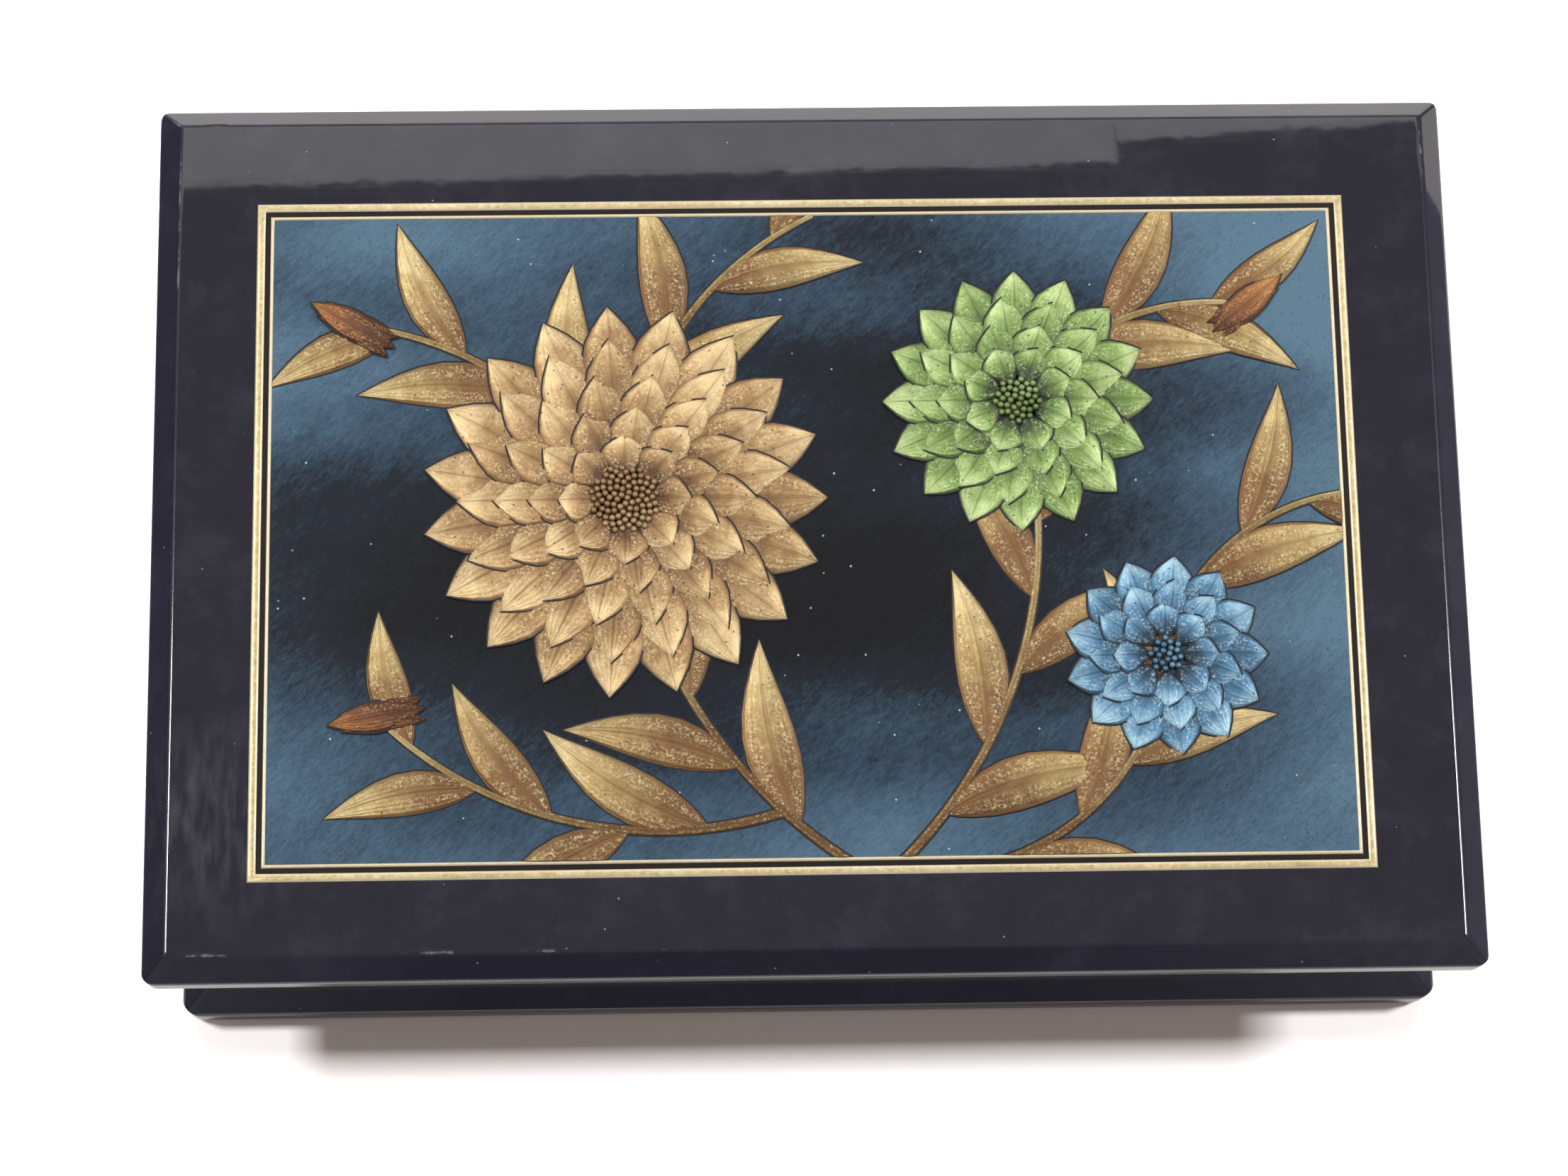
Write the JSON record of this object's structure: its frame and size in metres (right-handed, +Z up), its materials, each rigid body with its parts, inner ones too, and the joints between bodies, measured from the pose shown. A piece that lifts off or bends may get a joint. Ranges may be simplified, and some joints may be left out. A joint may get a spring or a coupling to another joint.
{
  "type": "hinged keepsake box",
  "caption": "Low black lacquered keepsake box with a bevelled hinged lid, a gold-lined embossed picture panel and a velvet-lined inside.",
  "frame": {"origin": "centre of the felt's underside, where the box stands", "axes": "+X to the right seen from the front, +Y from the front to the hinges, +Z up"},
  "size_m": [0.15, 0.1024, 0.0362],
  "materials": {
    "black_lacquer": "gloss black lacquer with a trace of navy, lightly scuffed along the edges",
    "blue_foil": "embossed foil, deep blue to black, fine grain",
    "gold_foil": "satin gold foil",
    "tan_foil": "satin tan and brown foil",
    "green_foil": "satin pale green foil",
    "pale_blue_foil": "satin pale blue foil",
    "rust_foil": "satin rust brown foil",
    "velvet": "wine red velvet on card",
    "felt": "dark green pressed felt",
    "brass": "plain rolled brass"
  },
  "bodies": {
    "base": {"base_felt": "felt", "base_board": "black_lacquer", "front_wall": "black_lacquer", "back_wall": "black_lacquer", "left_wall": "black_lacquer", "right_wall": "black_lacquer", "floor_lining": "velvet", "front_lining": "velvet", "back_lining": "velvet", "left_lining": "velvet", "right_lining": "velvet", "left_hinge_wall_leaf": "brass", "right_hinge_wall_leaf": "brass", "left_hinge_pin": "brass", "right_hinge_pin": "brass", "wall_hinge_screws": "brass"},
    "lid": {"lid_panel": "black_lacquer", "picture_plate": "blue_foil", "outer_gold_line": "gold_foil", "inner_gold_line": "gold_foil", "relief_foliage": "gold_foil", "relief_large_blossom": "tan_foil", "relief_green_blossom": "green_foil", "relief_blue_blossom": "pale_blue_foil", "relief_buds": "rust_foil", "lid_lining": "velvet", "left_hinge_lid_leaf": "brass", "right_hinge_lid_leaf": "brass", "lid_hinge_screws": "brass"}
  },
  "joints": [
    {"name": "lid_hinge", "type": "hinge", "parent": "base", "child": "lid", "pos_m": [0, 0.0479, 0.0294], "axis": [-1, 0, 0], "range_deg": [0, 115]}
  ]
}
